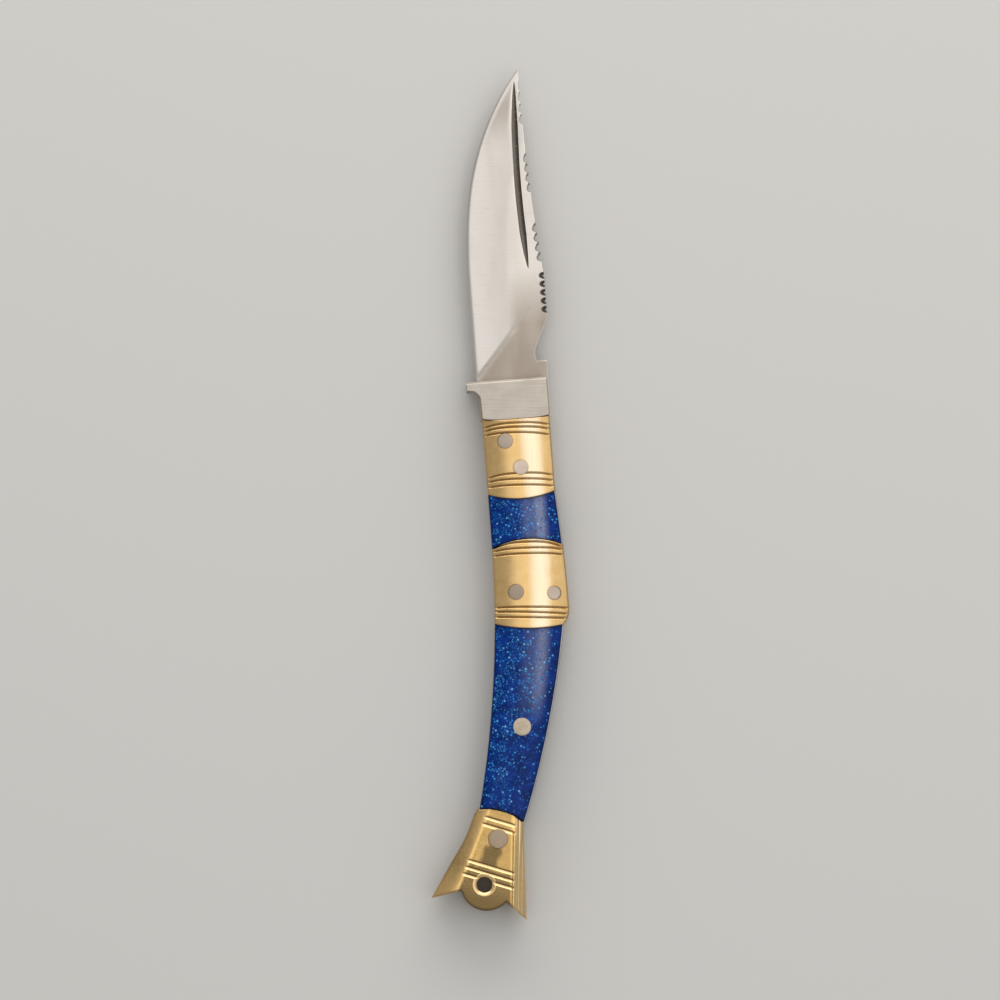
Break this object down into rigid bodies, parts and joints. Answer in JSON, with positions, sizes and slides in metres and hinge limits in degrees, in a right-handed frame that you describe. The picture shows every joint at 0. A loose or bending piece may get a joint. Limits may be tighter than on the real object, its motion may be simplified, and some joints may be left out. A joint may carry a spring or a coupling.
{
  "type": "folding pocket knife",
  "caption": "Slip-joint folding knife: clip blade with fuller and filed spine, steel guard, brass bolsters with blue glitter acrylic scales, and a fish-tail end with a lanyard hole.",
  "frame": {"origin": "centre of the lanyard hole, on the knife's middle plane", "axes": "+Y along the open knife towards the blade's tip, +X towards the spine and the back of the handle, +Z out of the front side, along the lanyard hole"},
  "size_m": [0.0359, 0.1908, 0.0114],
  "materials": {
    "blade_steel": "satin, ground across the blade",
    "guard_steel": "satin",
    "spring_steel": "satin",
    "liner_steel": "satin",
    "brass": "polished, lightly worn",
    "acrylic": "glossy, with glitter inside",
    "pin_steel": "matte, ground flush",
    "white_pin": "smooth, slightly domed"
  },
  "bodies": {
    "handle": {"backspring": "spring_steel", "liner_top": "liner_steel", "liner_bottom": "liner_steel", "guard_bolster_top": "guard_steel", "guard_bolster_bottom": "guard_steel", "front_bolster_top": "brass", "front_bolster_bottom": "brass", "front_inlay_top": "acrylic", "front_inlay_bottom": "acrylic", "middle_bolster_top": "brass", "middle_bolster_bottom": "brass", "rear_scale_top": "acrylic", "rear_scale_bottom": "acrylic", "tail_bolster_top": "brass", "tail_bolster_bottom": "brass", "pivot_pin": "pin_steel", "spring_pin": "pin_steel", "tail_pin": "pin_steel", "front_rivet_top": "pin_steel", "front_rivet_bottom": "pin_steel", "middle_rivet_top": "pin_steel", "middle_rivet_bottom": "pin_steel", "scale_rivet_top": "white_pin", "scale_rivet_bottom": "white_pin", "guard_rivets_top": "pin_steel", "guard_rivets_bottom": "pin_steel"},
    "blade": {"blade": "blade_steel"}
  },
  "joints": [
    {"name": "blade_fold", "type": "hinge", "parent": "handle", "child": "blade", "pos_m": [0.01216, 0.09837, 0], "axis": [0, 0, 1], "range_deg": [0, 180], "deforming": ["backspring"]}
  ]
}
